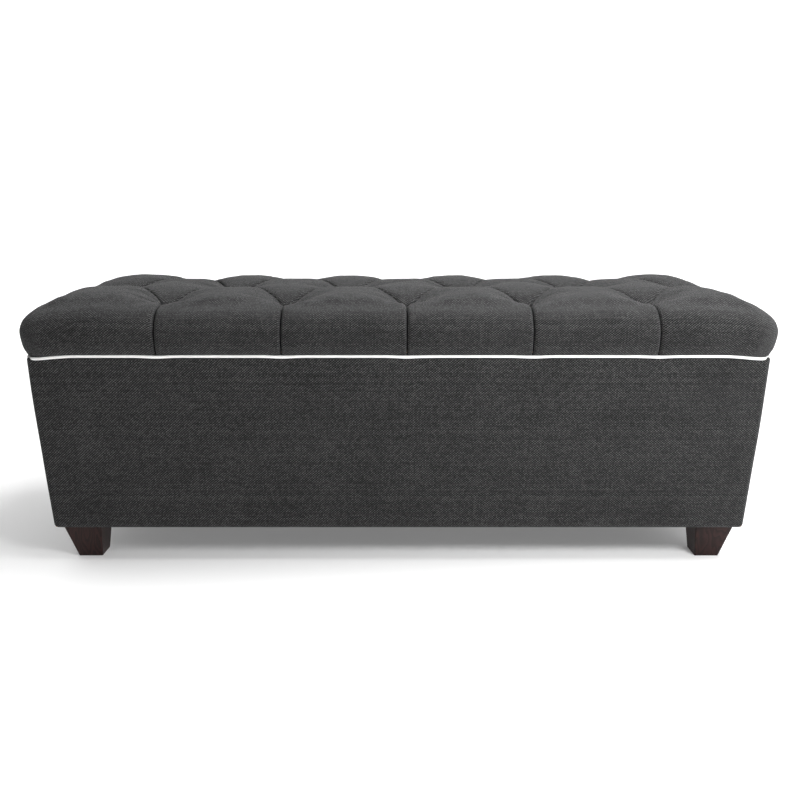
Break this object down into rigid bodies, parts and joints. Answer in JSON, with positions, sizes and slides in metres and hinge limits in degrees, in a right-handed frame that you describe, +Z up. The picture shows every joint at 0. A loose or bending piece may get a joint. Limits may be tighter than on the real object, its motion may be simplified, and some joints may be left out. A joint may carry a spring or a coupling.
{
  "type": "storage bench",
  "caption": "Long upholstered storage bench: a deep-tufted hinged lid with contrast piping over a flared fabric-covered box on tapered wooden feet.",
  "frame": {"origin": "on the floor under the middle of the bench", "axes": "+X along the length, -Y is the front that faces the user, +Z up"},
  "size_m": [1.261, 0.5, 0.465],
  "materials": {
    "back_cover": "matte",
    "back_panel": "matte",
    "base_cleat_back": "matte",
    "base_cleat_front": "matte",
    "base_panel": "matte",
    "corner_block_back_left": "matte",
    "corner_block_back_right": "matte",
    "corner_block_front_left": "matte",
    "corner_block_front_right": "matte",
    "dust_cover": "matte",
    "foot_back_left": "satin",
    "foot_back_right": "satin",
    "foot_bolt_back_left": "satin",
    "foot_bolt_back_right": "satin",
    "foot_bolt_front_left": "satin",
    "foot_bolt_front_right": "satin",
    "foot_front_left": "satin",
    "foot_front_right": "satin",
    "front_cover": "matte",
    "front_panel": "matte",
    "hinge_box_leaf_left": "satin",
    "hinge_box_leaf_right": "satin",
    "hinge_lid_leaf_left": "satin",
    "hinge_lid_leaf_right": "satin",
    "hinge_pin_left": "satin",
    "hinge_pin_right": "satin",
    "left_cover": "matte",
    "left_panel": "matte",
    "lid_board": "matte",
    "lid_lining": "matte",
    "piping_back": "matte",
    "piping_front": "matte",
    "right_cover": "matte",
    "right_panel": "matte",
    "seat_cover": "matte",
    "seat_foam": "matte",
    "stay_arm_left": "satin",
    "stay_arm_right": "satin",
    "stay_bracket_left": "satin",
    "stay_bracket_right": "satin",
    "stay_track_left": "satin",
    "stay_track_right": "satin",
    "storage_lining": "matte",
    "tuft_button_01": "matte",
    "tuft_button_02": "matte",
    "tuft_button_03": "matte",
    "tuft_button_04": "matte",
    "tuft_button_05": "matte",
    "tuft_button_06": "matte",
    "tuft_button_07": "matte",
    "tuft_button_08": "matte",
    "tuft_button_09": "matte",
    "tuft_button_10": "matte",
    "tuft_button_11": "matte",
    "tuft_button_12": "matte",
    "tuft_button_13": "matte",
    "tuft_button_14": "matte",
    "tuft_button_15": "matte",
    "tuft_button_16": "matte"
  },
  "bodies": {
    "box": {"back_cover": "back_cover", "back_panel": "back_panel", "base_cleat_back": "base_cleat_back", "base_cleat_front": "base_cleat_front", "base_panel": "base_panel", "corner_block_back_left": "corner_block_back_left", "corner_block_back_right": "corner_block_back_right", "corner_block_front_left": "corner_block_front_left", "corner_block_front_right": "corner_block_front_right", "dust_cover": "dust_cover", "foot_back_left": "foot_back_left", "foot_back_right": "foot_back_right", "foot_bolt_back_left": "foot_bolt_back_left", "foot_bolt_back_right": "foot_bolt_back_right", "foot_bolt_front_left": "foot_bolt_front_left", "foot_bolt_front_right": "foot_bolt_front_right", "foot_front_left": "foot_front_left", "foot_front_right": "foot_front_right", "front_cover": "front_cover", "front_panel": "front_panel", "hinge_box_leaf_left": "hinge_box_leaf_left", "hinge_box_leaf_right": "hinge_box_leaf_right", "hinge_pin_left": "hinge_pin_left", "hinge_pin_right": "hinge_pin_right", "left_cover": "left_cover", "left_panel": "left_panel", "right_cover": "right_cover", "right_panel": "right_panel", "stay_track_left": "stay_track_left", "stay_track_right": "stay_track_right", "storage_lining": "storage_lining"},
    "lid": {"hinge_lid_leaf_left": "hinge_lid_leaf_left", "hinge_lid_leaf_right": "hinge_lid_leaf_right", "lid_board": "lid_board", "lid_lining": "lid_lining", "piping_back": "piping_back", "piping_front": "piping_front", "seat_cover": "seat_cover", "seat_foam": "seat_foam", "stay_bracket_left": "stay_bracket_left", "stay_bracket_right": "stay_bracket_right", "tuft_button_01": "tuft_button_01", "tuft_button_02": "tuft_button_02", "tuft_button_03": "tuft_button_03", "tuft_button_04": "tuft_button_04", "tuft_button_05": "tuft_button_05", "tuft_button_06": "tuft_button_06", "tuft_button_07": "tuft_button_07", "tuft_button_08": "tuft_button_08", "tuft_button_09": "tuft_button_09", "tuft_button_10": "tuft_button_10", "tuft_button_11": "tuft_button_11", "tuft_button_12": "tuft_button_12", "tuft_button_13": "tuft_button_13", "tuft_button_14": "tuft_button_14", "tuft_button_15": "tuft_button_15", "tuft_button_16": "tuft_button_16"},
    "left_arm": {"stay_arm_left": "stay_arm_left"},
    "right_arm": {"stay_arm_right": "stay_arm_right"}
  },
  "joints": [
    {"name": "lid_hinge", "type": "hinge", "parent": "box", "child": "lid", "pos_m": [0, 0.2398, 0.366], "axis": [-1, 0, 0], "range_deg": [0, 80]},
    {"name": "left_stay_pivot", "type": "hinge", "parent": "lid", "child": "left_arm", "pos_m": [-0.57875, 0.0833, 0.33273], "axis": [-1, 0, 0], "range_deg": [-160, 0]},
    {"name": "right_stay_pivot", "type": "hinge", "parent": "lid", "child": "right_arm", "pos_m": [0.57875, 0.0833, 0.33273], "axis": [-1, 0, 0], "range_deg": [-160, 0]}
  ],
  "couplings": [
    {"joint": "left_stay_pivot", "follows": "lid_hinge", "ratio": -2},
    {"joint": "right_stay_pivot", "follows": "lid_hinge", "ratio": -2}
  ]
}
